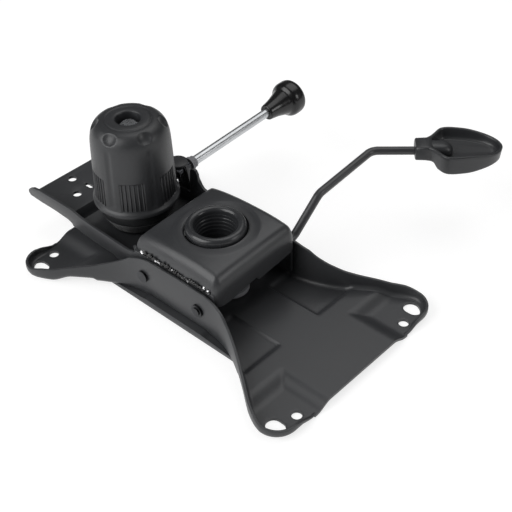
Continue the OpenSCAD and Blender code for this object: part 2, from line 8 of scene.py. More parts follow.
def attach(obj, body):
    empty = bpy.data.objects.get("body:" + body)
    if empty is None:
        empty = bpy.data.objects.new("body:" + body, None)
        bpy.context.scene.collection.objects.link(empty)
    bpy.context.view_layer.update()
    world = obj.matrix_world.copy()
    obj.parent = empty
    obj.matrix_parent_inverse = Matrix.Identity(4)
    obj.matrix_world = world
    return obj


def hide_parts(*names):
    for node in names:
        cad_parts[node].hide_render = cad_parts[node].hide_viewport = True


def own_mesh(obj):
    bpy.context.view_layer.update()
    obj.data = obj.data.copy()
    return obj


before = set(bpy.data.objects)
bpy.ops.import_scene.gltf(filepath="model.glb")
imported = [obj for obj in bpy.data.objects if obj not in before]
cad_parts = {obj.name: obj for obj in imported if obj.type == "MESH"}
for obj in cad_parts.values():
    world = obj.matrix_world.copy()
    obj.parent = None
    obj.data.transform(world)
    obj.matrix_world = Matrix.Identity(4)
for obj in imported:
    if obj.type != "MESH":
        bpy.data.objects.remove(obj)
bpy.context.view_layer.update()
mm = 0.001
print("frame loaded:", len(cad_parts), "solids")


# colour and node helpers

def linearColour(hexCode):
    parts = [int(hexCode[i:i + 2], 16) / 255 for i in (1, 3, 5)]
    return [c / 12.92 if c <= 0.04045 else ((c + 0.055) / 1.055) ** 2.4 for c in parts] + [1.0]


def addNode(tree, kind, sockets=None, **settings):
    node = tree.nodes.new(kind)
    for name, value in settings.items():
        setattr(node, name, value)
    for name, value in (sockets or {}).items():
        if isinstance(value, bpy.types.NodeSocket):
            tree.links.new(value, node.inputs[name])
        else:
            node.inputs[name].default_value = value
    return node


def mathOf(tree, operation, *values):  # one math node with its inputs in order
    return addNode(tree, "ShaderNodeMath", dict(enumerate(values)), operation=operation).outputs[0]


def vectorOf(tree, operation, *values):
    return addNode(tree, "ShaderNodeVectorMath", dict(enumerate(values)), operation=operation).outputs[0]


def startMaterial(name):
    material = bpy.data.materials.new(name)
    material.use_nodes = True
    tree = material.node_tree
    tree.nodes.clear()
    out = addNode(tree, "ShaderNodeOutputMaterial")
    shader = addNode(tree, "ShaderNodeBsdfPrincipled")
    tree.links.new(shader.outputs["BSDF"], out.inputs["Surface"])
    place = addNode(tree, "ShaderNodeTexCoord").outputs["Object"]
    return material, tree, shader, place


def noiseOf(tree, place, width, detail=2.0, roughness=0.5):  # width of one blotch, in metres
    sockets = {"Vector": place, "Scale": 0.5 / width, "Detail": detail, "Roughness": roughness}
    return addNode(tree, "ShaderNodeTexNoise", sockets).outputs["Fac"]


def rampOf(tree, factor, low, high, start=0.35, end=0.65):  # low and high are greys or hex colours
    ramp = addNode(tree, "ShaderNodeValToRGB", {"Fac": factor})
    for element, position, value in zip(ramp.color_ramp.elements, (start, end), (low, high)):
        element.position = position
        element.color = linearColour(value) if isinstance(value, str) else [value] * 3 + [1.0]
    return ramp.outputs["Color"]


def finishMaterial(tree, shader, colour, rough, height, strength, depth):
    bump = addNode(tree, "ShaderNodeBump", {"Height": height, "Strength": strength, "Distance": depth})
    tree.links.new(colour, shader.inputs["Base Color"])
    tree.links.new(rough, shader.inputs["Roughness"])
    tree.links.new(bump.outputs["Normal"], shader.inputs["Normal"])


# finishes

powder = {"dark": "#303133", "light": "#37383a", "rough": (0.34, 0.42), "cloud": 26 * mm, "peel": 1.1 * mm,
          "relief": 0.04 * mm}
moulded = {"cloud": 18 * mm, "grain": 0.7 * mm, "relief": 0.03 * mm, "ior": 1.5}
paintedShadeEnd = {"cloud": 9 * mm, "line": 0.6 * mm, "relief": 0.0015 * mm}
# the light silver colour below is for painted glints on the weld lumps
scale = {"patch": 5 * mm, "crust": 1.2 * mm, "relief": 0.3 * mm, "black": "#0d0d0e", "paintedGlint": "#dcdcdd",
         "rough": (0.12, 0.38)}


def powderCoatedSteel(name, dark=powder["dark"], light=powder["light"], rough=powder["rough"]):
    # baked polyester powder on pressed steel: an even satin black with a fine orange peel
    material, tree, shader, place = startMaterial(name)
    cloud = noiseOf(tree, place, powder["cloud"], 3.0)
    peel = noiseOf(tree, place, powder["peel"], 2.0, 0.6)
    finishMaterial(tree, shader, rampOf(tree, cloud, dark, light), rampOf(tree, cloud, *rough),
                   peel, 0.5, powder["relief"])
    return material


def mouldedPlastic(name, dark, light, rough, grain=moulded["grain"], relief=moulded["relief"]):
    # spark-eroded mould skin: a dull grain that takes the edge off every highlight
    material, tree, shader, place = startMaterial(name)
    cloud = noiseOf(tree, place, moulded["cloud"])
    skin = noiseOf(tree, place, grain, 3.0, 0.65)
    shader.inputs["IOR"].default_value = moulded["ior"]
    finishMaterial(tree, shader, rampOf(tree, cloud, dark, light), rampOf(tree, skin, *rough),
                   skin, 0.5, relief)
    return material


def platedSteel(name, dark, light, rough, alongY=1.0, relief=paintedShadeEnd["relief"]):
    # electroplated steel: bright metal with fine drawn or turned lines showing through
    material, tree, shader, place = startMaterial(name)
    drawn = addNode(tree, "ShaderNodeMapping", {"Vector": place, "Scale": (1.0, alongY, 1.0)})
    lines = noiseOf(tree, drawn.outputs["Vector"], paintedShadeEnd["line"], 3.0, 0.6)
    cloud = noiseOf(tree, place, paintedShadeEnd["cloud"], 3.0)
    shader.inputs["Metallic"].default_value = 1.0
    finishMaterial(tree, shader, rampOf(tree, cloud, dark, light), rampOf(tree, lines, *rough),
                   lines, 0.4, relief)
    return material


def weldScale(name):
    # weld run under thin black paint: glassy black lumps, with silver metal patches painted on as glints of
    # light on the glossy paint
    material, tree, shader, place = startMaterial(name)
    # silver metallic patches are painted glints, standing in for light caught by the glossy black paint
    paintedGlint = rampOf(tree, noiseOf(tree, place, scale["patch"]), 0.0, 1.0, 0.54, 0.58)
    crust = noiseOf(tree, place, scale["crust"], 3.0, 0.6)
    colour = addNode(tree, "ShaderNodeMixRGB", {"Fac": paintedGlint, "Color1": linearColour(scale["black"]),
                                                "Color2": linearColour(scale["paintedGlint"])})
    tree.links.new(paintedGlint, shader.inputs["Metallic"])
    finishMaterial(tree, shader, colour.outputs["Color"], rampOf(tree, crust, *scale["rough"]),
                   crust, 0.8, scale["relief"])
    return material


finishes = {
    "sheet": powderCoatedSteel("black powder coat on pressed steel"),
    "box": powderCoatedSteel("black powder coat on drawn steel", "#313234", "#38393b", (0.35, 0.42)),
    "turned": powderCoatedSteel("black powder coat on turned steel", "#2b2c2e", "#313234", (0.24, 0.32)),
    "rod": powderCoatedSteel("black stove enamel on bent wire", "#323234", "#3a3a3c", (0.28, 0.36)),
    "knob": mouldedPlastic("dark grey moulded ABS", "#262729", "#2d2e30", (0.36, 0.46)),
    "cup": mouldedPlastic("black moulded nylon", "#222324", "#28292a", (0.30, 0.40)),
    "paddle": mouldedPlastic("black moulded polypropylene", "#28292b", "#2f3032", (0.32, 0.42)),
    "gloss": mouldedPlastic("black phenolic, polished", "#0c0c0d", "#101011", (0.22, 0.27), 2 * mm,
                            0.0005 * mm),
    "nylon": mouldedPlastic("grey natural nylon", "#85868a", "#929396", (0.45, 0.55)),
    "chrome": platedSteel("bright chrome plate", "#bcbec0", "#c8cacc", (0.30, 0.33), 0.08, 0.00002 * mm),
    "zinc": platedSteel("clear zinc plate", "#a9abae", "#c3c5c8", (0.22, 0.36)),
    "pin": platedSteel("black zinc plate", "#38393b", "#48494c", (0.30, 0.42)),
    "spring": platedSteel("oiled spring steel", "#4a4b4e", "#66686b", (0.25, 0.40)),
    "weld": weldScale("painted weld scale"),
}
print("finishes made:", len(finishes))


# mesh helpers

def addObject(name, data):
    thing = bpy.data.objects.new(name, data)
    bpy.context.scene.collection.objects.link(thing)
    return thing


def makePiece(name, mesh, finish, body, replaced=(), sharpAngle=38):
    piece = addObject(name, mesh)
    mesh.materials.clear()
    mesh.materials.append(finishes[finish])
    mesh.shade_smooth()
    mesh.set_sharp_from_angle(angle=math.radians(sharpAngle))
    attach(piece, body)
    if replaced:
        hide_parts(*replaced)
    print("piece:", name, len(mesh.polygons), "faces")
    return piece


def meshOf(name, work):
    mesh = bpy.data.meshes.new(name)
    work.to_mesh(mesh)
    work.free()
    return mesh


def meshFrom(name, points, faces, mergeAt=0.01 * mm):  # points in millimetres, faces turned outwards
    work = bmesh.new()
    verts = [work.verts.new(Vector(p) * mm) for p in points]
    for face in faces:
        if len(set(face)) == len(face):
            try:
                work.faces.new([verts[i] for i in face])
            except ValueError:
                pass
    bmesh.ops.remove_doubles(work, verts=work.verts, dist=mergeAt)
    bmesh.ops.dissolve_degenerate(work, dist=mergeAt / 2, edges=work.edges)
    bmesh.ops.recalc_face_normals(work, faces=work.faces)
    return meshOf(name, work)


def joinMeshes(name, meshes):
    work = bmesh.new()
    for mesh in meshes:
        work.from_mesh(mesh)
    return meshOf(name, work)


def softCorners(points, radius, steps=4, closed=True):  # rounds each corner of an outline
    rounded = []
    count = len(points)
    for i, point in enumerate(points):
        here = Vector(point)
        if not closed and i in (0, count - 1):
            rounded.append(tuple(here))
            continue
        before, after = Vector(points[i - 1]) - here, Vector(points[(i + 1) % count]) - here
        cut = min(radius, before.length * 0.48, after.length * 0.48)
        a, b = here + before.normalized() * cut, here + after.normalized() * cut
        for k in range(steps + 1):
            t = k / steps
            rounded.append(tuple((1 - t) ** 2 * a + 2 * t * (1 - t) * here + t * t * b))
    return rounded


def gridFaces(rows, columns, wrapRows=False):  # rows of points, each row closed on itself
    faces = []
    for i in range(rows if wrapRows else rows - 1):
        for j in range(columns):
            a, b = i * columns + j, i * columns + (j + 1) % columns
            c, d = (i + 1) % rows * columns + (j + 1) % columns, (i + 1) % rows * columns + j
            faces.append((a, b, c, d))
    return faces


def tubeFaces(rows, ring):  # a run of closed sections with a cap at each end
    last = (rows - 1) * ring
    return gridFaces(rows, ring) + [tuple(range(ring)), tuple(last + j for j in reversed(range(ring)))]


def turnedMesh(name, outline, place, axis="Z", steps=96, shape=None):  # closed outline of (radius, height)
    points = []
    for i in range(steps):
        angle = 2 * math.pi * i / steps
        for radius, height in outline:
            if shape:
                radius, height = shape(radius, height, angle)
            across, up = radius * math.cos(angle), radius * math.sin(angle)
            local = (across, up, height) if axis == "Z" else (across, height, up)
            points.append(Vector(local) + Vector(place))
    return meshFrom(name, points, gridFaces(steps, len(outline), True))


def splineLine(points, step):  # smooth curve through a line of points
    ends = [2 * Vector(points[0]) - Vector(points[1])] + [Vector(p) for p in points]
    ends.append(2 * Vector(points[-1]) - Vector(points[-2]))
    curve = []
    for p0, p1, p2, p3 in zip(ends, ends[1:], ends[2:], ends[3:]):
        count = max(1, round((p2 - p1).length / step))
        for k in range(count):
            t = k / count
            curve.append(tuple(0.5 * ((2 * p1) + (p2 - p0) * t + (2 * p0 - 5 * p1 + 4 * p2 - p3) * t * t
                                      + (3 * p1 - p0 - 3 * p2 + p3) * t ** 3)))
    return curve + [tuple(points[-1])]


def smoothStep(value, start, end):
    t = min(1.0, max(0.0, (value - start) / (end - start)))
    return t * t * (3 - 2 * t)


def between(start, end, share):
    return tuple(a + (b - a) * share for a, b in zip(start, end))


def tableValue(table, x):
    for (x0, y0), (x1, y1) in zip(table, table[1:]):
        if x <= x1:
            return y0 + (y1 - y0) * max(0.0, x - x0) / (x1 - x0)
    return table[-1][1]


def roundedCopy(node, width, angle=40, segments=2):  # a CAD solid with its sharp edges broken
    work = bmesh.new()
    work.from_mesh(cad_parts[node].data)
    bmesh.ops.remove_doubles(work, verts=work.verts, dist=0.003 * mm)
    bmesh.ops.dissolve_limit(work, angle_limit=math.radians(0.4), verts=work.verts, edges=work.edges,
                             delimit=set())
    sharp = [e for e in work.edges if len(e.link_faces) == 2
             and e.calc_face_angle(0) > math.radians(angle)]
    bmesh.ops.bevel(work, geom=sharp, offset=width * mm, offset_type="OFFSET", segments=segments,
                    affect="EDGES", clamp_overlap=True, profile=0.5)
    return meshOf(node + "Rounded", work)


# node tree helpers

def startTree(name, items):  # each item is an input's label, kind and first value
    tree = bpy.data.node_groups.new(name, "GeometryNodeTree")
    for label, kind, value in items:
        item = tree.interface.new_socket(name=label, in_out="INPUT", socket_type="NodeSocket" + kind)
        if value is not None:
            item.default_value = value
    tree.interface.new_socket(name="Geometry", in_out="OUTPUT", socket_type="NodeSocketGeometry")
    return tree, addNode(tree, "NodeGroupInput").outputs


def endTree(tree, copies, finish):
    real = addNode(tree, "GeometryNodeRealizeInstances", {0: copies.outputs[0]})
    painted = addNode(tree, "GeometryNodeSetMaterial", {"Geometry": real.outputs[0], "Material": finish})
    addNode(tree, "NodeGroupOutput", {"Geometry": painted.outputs[0]})
    return tree


def plainMesh(holder):  # what an object's modifiers make of it, and the object goes
    bpy.context.view_layer.update()
    mesh = bpy.data.meshes.new_from_object(holder.evaluated_get(bpy.context.evaluated_depsgraph_get()))
    bpy.data.objects.remove(holder)
    return mesh


def growMesh(name, tree, values):  # runs a node tree
    holder = addObject("holder", bpy.data.meshes.new("empty"))
    modifier = holder.modifiers.new("nodes", "NODES")
    modifier.node_group = tree
    names = {item.name: item.identifier for item in tree.interface.items_tree if item.in_out == "INPUT"}
    for label, value in values.items():
        modifier[names[label]] = value
    mesh = plainMesh(holder)
    mesh.name = name
    return mesh


def solidify(mesh, thickness):  # a sheet's thickness, inwards from its outer face
    holder = addObject("holder", mesh)
    modifier = holder.modifiers.new("thickness", "SOLIDIFY")
    modifier.thickness, modifier.offset, modifier.use_even_offset = thickness, -1.0, False
    return plainMesh(holder)


# seat plate: one pressed sheet with turned-up flanges, low ears and two pairs of pressed pads

plate = {"sheet": 2.26, "deckTop": 7.3, "deckFoot": 5.0, "earDrop": 5.0, "padDrop": 2.0,
         "earX": (98.0, 112.0), "earY": (37.0, 52.0), "padX": (80.4, 83.6), "padY": (20.6, 23.4),
         "padFadeX": (30.0, 35.0), "waist": 48.0, "curve": ((36, 48), (74, 50), (104, 90), (126.3, 92.5)),
         "bend": 6.0, "leastBend": 0.35, "leastLip": 0.9, "lipRadius": 0.7, "cornerRadius": 18.0,
         "cornerAt": (126.3, 74.5), "cornerTop": 9.6, "endX": 142.0, "grid": 2.0, "gridRow": 1.732,
         "slotAt": (130.0, 80.0), "slotSize": (15.5, 12.0), "smallAt": (134.3, 62.4), "smallRadius": 4.0,
         "boltX": -93.5, "boltRadius": 7.5, "holeEdge": 0.7, "edgeDrop": 0.3, "notchX": 30.8, "notchZ": 36.6,
         "notchRadius": 4.8, "notchSlack": 0.01, "notchMargin": 0.03, "notchClear": 5.0,
         "reach": (146, 92), "holeReach": 22.0, "guessIn": 5, "curveSteps": 40, "waistStep": 2,
         "cornerSteps": 12, "mergeAt": 0.02}
deckRim = {"lap": 0.7, "endTuck": 0.13, "endY": 54.1, "endClear": 0.2, "endSteps": 44}
flangeTops = [(0, 43), (30, 42.4), (40, 40), (50, 36.5), (56, 32), (65, 27), (76, 22), (86, 19),
              (96, 16.5), (106, 13.5), (116, 12.5), (126.3, 9.6)]
endTops = [(52.5, 2.35), (56, 2.75), (61, 4.6), (67, 7.2), (74.5, 8.9)]
endStations = (72, 69, 66, 63, 60, 57, 54.5, 52.5)


def deckTopAt(x, y):
    ax, ay = abs(x), abs(y)
    ear = min(smoothStep(ax, *plate["earX"]), smoothStep(ay, *plate["earY"]))
    pad = min(1 - smoothStep(ax, *plate["padX"]), smoothStep(ay, *plate["padY"]),
              smoothStep(ax, *plate["padFadeX"]))
    return plate["deckTop"] - plate["earDrop"] * ear - plate["padDrop"] * pad


def halfOutline():  # far side, from the middle out to the end: place and inward direction
    p = [Vector(point) for point in plate["curve"]]
    straight, steps = range(0, plate["curve"][0][0], plate["waistStep"]), plate["curveSteps"]
    stations = [(Vector((x, plate["waist"])), Vector((0, -1))) for x in straight]
    for i in range(steps):
        t = i / steps
        place = p[0] * (1 - t) ** 3 + 3 * p[1] * t * (1 - t) ** 2 + 3 * p[2] * t * t * (1 - t) + p[3] * t ** 3
        way = (p[1] - p[0]) * (1 - t) ** 2 + 2 * (p[2] - p[1]) * t * (1 - t) + (p[3] - p[2]) * t * t
        stations.append((place, Vector((way.y, -way.x)).normalized()))
    centre, radius, turns = Vector(plate["cornerAt"]), plate["cornerRadius"], plate["cornerSteps"]
    for i in range(turns + 1):
        angle = math.radians(90 - 90 / turns * i)
        out = Vector((math.cos(angle), math.sin(angle)))
        stations.append((centre + radius * out, -out))
    endX = plate["cornerAt"][0] + radius
    return stations + [(Vector((endX, y)), Vector((-1, 0))) for y in endStations]


def flangeTopAt(place):
    x, y = abs(place.x), place.y
    if x > plate["cornerAt"][0]:
        blend = smoothStep(x, plate["cornerAt"][0], plate["endX"])
        return plate["cornerTop"] * (1 - blend) + tableValue(endTops, y) * blend
    return tableValue(flangeTops, x)


def bendAt(place, inward, top):  # height of the sheet's underside and outer radius of its bend
    guess = place + inward * plate["guessIn"]
    foot = deckTopAt(guess.x, guess.y) - plate["deckTop"] + plate["deckFoot"]
    return foot, max(plate["sheet"] + plate["leastBend"], min(plate["bend"], top - foot - plate["leastLip"]))


def quarterBend(bend, radius, foot):
    turns = [math.radians(a) for a in range(0, 91, 10)]
    return [(bend - radius * math.sin(turn), foot + bend - radius * math.cos(turn)) for turn in turns]


def notchStations(stations):  # closer stations round the notch for the gas lever's rod
    middle, radius = plate["notchX"], plate["notchRadius"]
    beyond = radius + plate["notchMargin"]
    reach = [radius * math.cos(math.radians(a)) for a in range(0, 181, 15)] + [-beyond, beyond]
    clear, waist = plate["notchClear"], plate["waist"]
    close = [(Vector((middle + r, waist)), Vector((0, -1))) for r in sorted(reach)]
    kept = [s for s in stations if abs(s[0].x - middle) >= clear or s[0].y >= waist + 2]
    split = next(i for i, s in enumerate(kept) if s[0].x > middle)
    return kept[:split] + close + kept[split:]


def flangeMesh(side):  # side is 1 for the far flange, -1 for the near one
    half = halfOutline()
    stations = [(Vector((-p.x, p.y)), Vector((-d.x, d.y))) for p, d in half[:0:-1]] + half
    if side > 0:
        stations = notchStations(stations)
    points = []
    thick, soft, notch = plate["sheet"], plate["lipRadius"], plate["notchRadius"]
    for place, inward in stations:
        top = flangeTopAt(place)
        if side > 0 and abs(place.x - plate["notchX"]) <= notch + plate["notchSlack"]:
            dip = math.sqrt(max(0.0, notch ** 2 - (place.x - plate["notchX"]) ** 2))
            top = min(top, plate["notchZ"] - dip)
        foot, bend = bendAt(place, inward, top)
        section = quarterBend(bend, bend, foot)
        topSoft = min(soft, (top - foot - bend) * 0.5 + 0.3)
        section += [(0, top - topSoft), (0.3 * soft, top - 0.3 * topSoft), (soft, top),
                    (thick - soft, top), (thick - 0.3 * soft, top - 0.3 * topSoft), (thick, top - topSoft)]
        section += quarterBend(bend, bend - thick, foot)[::-1]
        for inset, z in section:
            spot = place + inward * inset
            points.append((spot.x, side * spot.y, z))
    return meshFrom("flange", points, tubeFaces(len(stations), len(section)))


def rimOutline():  # the deck's edge, a little inside the bend of the flanges
    edge = []
    for place, inward in halfOutline():
        _, bend = bendAt(place, inward, flangeTopAt(place))
        edge.append(place + inward * (bend - deckRim["lap"]))
    endX = plate["cornerAt"][0] + plate["cornerRadius"] - deckRim["endTuck"]
    endY, steps = deckRim["endY"], deckRim["endSteps"]
    far = [Vector((-p.x, p.y)) for p in edge[:0:-1]] + edge
    far = [p for p in far if p.y > endY + deckRim["endClear"]]
    far = [Vector((-endX, endY))] + far + [Vector((endX, endY))]
    end = [Vector((endX, endY - 2 * endY * k / steps)) for k in range(1, steps)]
    return far + end + [-p for p in far] + [-p for p in end]


def slotLoop(x, y, length, width, grow):
    run, radius = (length - width) / 2, width / 2 + grow
    turns = [(run, a) for a in range(-90, 91, 12)] + [(-run, a) for a in range(90, 271, 12)]
    return [Vector((x + aside + radius * math.cos(math.radians(a)), y + radius * math.sin(math.radians(a))))
            for aside, a in turns]


def roundLoop(x, y, radius, steps):
    turns = [2 * math.pi * k / steps for k in range(steps)]
    return [Vector((x + radius * math.cos(turn), y + radius * math.sin(turn))) for turn in turns]


def insideLoop(loop, x, y):
    inside = False
    for (x0, y0), (x1, y1) in zip(loop, loop[1:] + loop[:1]):
        if (y0 > y) != (y1 > y) and x < (x1 - x0) * (y - y0) / (y1 - y0) + x0:
            inside = not inside
    return inside


def inHoles(loops, x, y):
    return any(abs(x - loop[0][0]) < plate["holeReach"] and insideLoop(loop, x, y) for loop in loops)


def deckHoles(grow):
    (slotX, slotY), (smallX, smallY) = plate["slotAt"], plate["smallAt"]
    holes = []
    for sx, sy in ((-1, -1), (-1, 1), (1, -1), (1, 1)):
        holes.append(slotLoop(sx * slotX, sy * slotY, *plate["slotSize"], grow))
        holes.append(roundLoop(sx * smallX, sy * smallY, plate["smallRadius"] + grow, 32))
    return holes + [roundLoop(plate["boltX"], 0, plate["boltRadius"] + grow, 40)]


def deckMesh():
    outline, holes, guards = rimOutline(), deckHoles(0), deckHoles(plate["holeEdge"])
    spots, edges = [], []
    for loop in [outline] + [loop for pair in zip(holes, guards) for loop in pair]:
        start = len(spots)
        spots += loop
        edges += [(start + i, start + (i + 1) % len(loop)) for i in range(len(loop))]
    edge = [tuple(p) for p in outline]
    reachX, reachY = plate["reach"]
    rows, columns = int(reachY / plate["gridRow"]), int(reachX / plate["grid"])
    for j in range(-rows, rows + 1):
        for i in range(-columns, columns + 1):
            x, y = (i + 0.5 * (j % 2)) * plate["grid"], j * plate["gridRow"]
            if insideLoop(edge, x, y) and not inHoles(guards, x, y):
                spots.append(Vector((x, y)))
    verts, _, faces, *_ = delaunay_2d_cdt(spots, edges, [], 0, plate["mergeAt"])
    kept = []
    for face in faces:
        x, y = sum((verts[i] for i in face), Vector((0, 0))) / 3
        if insideLoop(edge, x, y) and not inHoles(holes, x, y):
            kept.append(face)
    sharpEdge = {(round(p.x, 2), round(p.y, 2)) for loop in holes for p in loop}
    points = []
    for v in verts:
        lower = plate["edgeDrop"] if (round(v.x, 2), round(v.y, 2)) in sharpEdge else 0.0
        points.append((v.x, v.y, deckTopAt(v.x, v.y) - lower))
    count = len(points)
    points += [(v.x, v.y, deckTopAt(v.x, v.y) - plate["deckTop"] + plate["deckFoot"]) for v in verts]
    use = {}
    for face in kept:
        for a, b in zip(face, face[1:] + face[:1]):
            use.setdefault((min(a, b), max(a, b)), []).append((a, b))
    faces = [tuple(f) for f in kept] + [tuple(i + count for i in reversed(f)) for f in kept]
    faces += [(b, a, a + count, b + count) for pairs in use.values() if len(pairs) == 1 for a, b in pairs]
    return meshFrom("deck", points, faces)


seatSheet = joinMeshes("seatSheet", [deckMesh(), flangeMesh(1), flangeMesh(-1)])
makePiece("pressed_seat_plate", seatSheet, "sheet", "seat_frame", ["seat_plate"], 32)


# box cover: drawn shell, crowned along its length, with a low round pad for the socket

cover = {"front": -50.5, "rear": 41.0, "half": 44.3, "corner": 7.0, "edge": 8.6, "drop": 12.5, "wall": 2.2,
         "lean": 0.038, "crossCrown": 1.2, "padAt": (-2.0, 0.0), "padRadius": 34.2, "padTop": 61.3,
         "around": 240, "perCorner": 12, "rearWall": 37.3, "frontWall": -46.6, "frontFeet": (45.2, 39.0),
         "frontFootY": 41.2, "sideFoot": 44.6, "blur": (-6, -3, 0, 3, 6), "edgeSteps": 10, "padRings": 8}
crownLine = [(-56, 54.2), (-50, 56.2), (-40, 58.8), (-28, 60.6), (-12, 61.9), (8, 62.4), (20, 62.2),
             (30, 61.4), (38, 60.0), (46, 57.6)]
rearFoot = [(-45, 33.2), (-31, 32.3), (-17, 34.4), (-1, 36.5), (1, 33.1), (4, 33.1), (19, 34.8), (40, 37)]
padSteps = [(33.3, 0.25), (32.2, 0.6), (31.0, 0.85), (29.5, 1.0), (27, 1.0), (26.2, 0.95), (25.4, 0.3),
            (25.0, -0.8), (24.6, -2.4)]  # radius, then share of the rise, or millimetres below the pad


def crownAt(x, y):
    steps = [tableValue(crownLine, x + d) for d in cover["blur"]]
    return sum(steps) / len(steps) - cover["crossCrown"] * (y / cover["half"]) ** 4 + cover["lean"] * y


def coverOutline(inset):
    corner = max(cover["corner"] - inset, 0.02)
    keep = max(cover["corner"], inset + 0.02)
    minX, maxX, half = cover["front"] + keep, cover["rear"] - keep, cover["half"] - keep
    perCorner = cover["perCorner"]
    perSide = cover["around"] // 4 - perCorner
    corners = []
    for k, (x, y) in enumerate(((maxX, half), (minX, half), (minX, -half), (maxX, -half))):
        turns = [math.radians(90 * (k + i / (perCorner - 1))) for i in range(perCorner)]
        corners.append([(x + corner * math.cos(t), y + corner * math.sin(t)) for t in turns])
    loop = []
    for bend, nextBend in zip(corners, corners[1:] + corners[:1]):
        loop += bend + [between(bend[-1], nextBend[0], i / (perSide + 1)) for i in range(1, perSide + 1)]
    return loop


def coverFoot(x, y):
    if x > cover["rearWall"]:
        return tableValue(rearFoot, y)
    if x < cover["frontWall"]:
        return cover["frontFeet"][0] if abs(y) > cover["frontFootY"] else cover["frontFeet"][1]
    return cover["sideFoot"]


def coverMesh():
    outer, inner = coverOutline(0), coverOutline(cover["edge"])
    rings = []
    for level in (0, 0.25, 0.5, 0.75, 1.0):
        ring = []
        for x, y in outer:
            foot = coverFoot(x, y)
            ring.append((x, y, foot + (crownAt(x, y) - cover["drop"] - foot) * level))
        rings.append(ring)
    for k in range(1, cover["edgeSteps"] + 1):
        angle = math.radians(90 / cover["edgeSteps"] * k)
        loop = coverOutline(cover["edge"] * (1 - math.cos(angle)))
        rings.append([(x, y, crownAt(x, y) - cover["drop"] * (1 - math.sin(angle))) for x, y in loop])
    cx, cy = cover["padAt"]
    angles = [math.atan2(y - cy, x - cx) for x, y in inner]

    def onPad(radius):
        return [(cx + radius * math.cos(angle), cy + radius * math.sin(angle)) for angle in angles]

    for k in range(1, cover["padRings"] + 1):
        share = k / cover["padRings"]
        ring = [between(spot, edge, share) for spot, edge in zip(inner, onPad(cover["padRadius"]))]
        rings.append([(x, y, crownAt(x, y)) for x, y in ring])
    for radius, rise in padSteps:
        ring = []
        for x, y in onPad(radius):
            low = crownAt(x, y)
            ring.append((x, y, low + (cover["padTop"] - low) * rise if rise > 0 else cover["padTop"] + rise))
        rings.append(ring)
    points = [p for ring in rings for p in ring]
    mesh = meshFrom("cover", points, gridFaces(len(rings), len(outer)))
    if max(mesh.polygons, key=lambda f: f.center.z).normal.z < 0:
        mesh.flip_normals()
    return solidify(mesh, cover["wall"] * mm)


makePiece("drawn_box_cover", coverMesh(), "box", "bracket", ["box_cover"], 44)


# column socket: turned tube with a rolled lip and stepped rings down its bore

socket = {"at": (-2.0, 0.0, 0.0), "foot": 20.0, "outer": 17.0, "bore": 14.0, "mouth": 16.9, "rings": 5,
          "ringTop": 61.6, "ringPitch": 3.1, "ringStep": 0.5}


def socketOutline():
    outer, foot, bore = socket["outer"], socket["foot"], socket["bore"]
    line = [(13.15, foot), (outer, foot), (outer, 58.6), (22.8, 58.6), (24.0, 60.0), (24.2, 62.4),
            (23.8, 64.6), (22.7, 66.2), (20.9, 67.0), (19.0, 66.7), (17.6, 65.6), (17.0, 64.2), (16.9, 62.2)]
    for k in range(socket["rings"]):
        radius, z = socket["mouth"] - socket["ringStep"] * k, socket["ringTop"] - socket["ringPitch"] * k
        line += [(radius, z), (radius - 0.25, z - 0.5), (radius - 0.25, z - 2.7)]
    return softCorners(line + [(bore, 44.5), (bore, 30)], 0.9, 3)


makePiece("turned_column_socket", turnedMesh("socket", socketOutline(), socket["at"], steps=120), "turned",
          "bracket", ["column_socket"])


# tension knob: tapered bell with finger dents on its shoulder, six soft flutes and six panels of ribs

knob = {"at": (-93.5, 0.0, 0.0), "dents": 6, "firstDent": 45.0, "dentRadius": 28.2, "dentHeight": 117.9,
        "dentHalf": 6.8, "dentAngle": 49.0, "ball": 11.0, "fluteDepth": 0.75, "fluteHalf": 3.6,
        "fluteStart": (55.5, 60.0), "fluteEnd": (104.0, 113.0), "panelHalf": 17.0, "panelZ": (55.4, 81.4),
        "panelDepth": 0.75, "panelSoft": (0.9, 0.5), "ribs": 6, "ribPitch": 6.0, "ribWidth": 1.7,
        "ribDepth": 2.0, "ribRadius": 32.35, "ribZ": 68.4, "ribHalf": 11.9, "skirtTop": 54.5,
        "capRadius": 19.5, "innerRadius": 31.15, "innerTop": 100.0, "innerFoot": 54, "innerLean": 0.012,
        "ribLean": (0.9, 26.0)}
knobOuter = [(32.6, 49.6), (35.0, 49.6), (35.6, 50.3), (35.6, 52.4), (35.0, 53.4), (33.9, 54.4),
             (33.5, 56), (33.2, 66), (32.85, 78), (32.5, 90), (32.15, 100), (31.75, 106.5),
             (31.0, 111.4), (29.6, 115.6), (27.4, 118.8), (24.6, 121.0), (21.6, 122.0), (19.5, 122.2)]
knobTop = [(18.9, 121.75), (18.1, 121.75), (17.6, 122.1), (16.8, 122.5), (15.2, 122.8), (12.6, 122.9),
           (10.9, 122.7), (10.0, 121.8), (10.0, 111), (10.0, 101), (7, 101), (7, 96.5), (20, 96.5),
           (25, 97.4), (28.4, 92), (29.8, 80), (30.9, 66), (31.3, 54)]


def nearestSixth(angle, first):  # signed degrees from the nearest of six equal stations
    return (math.degrees(angle) - first + 30) % 60 - 30


dentAngle = math.radians(knob["dentAngle"])
dentNormal = Vector((math.cos(dentAngle), 0, math.sin(dentAngle)))
dentBall = (Vector((knob["dentRadius"], 0, knob["dentHeight"]))
            + dentNormal * math.sqrt(knob["ball"] ** 2 - knob["dentHalf"] ** 2))


def onKnobSkin(radius, height):  # true outside, between the skirt and the cap
    inside = knob["innerRadius"] - (height - knob["innerFoot"]) * knob["innerLean"]
    return height >= knob["skirtTop"] and radius >= knob["capRadius"] and (
        height >= knob["innerTop"] or radius >= inside)


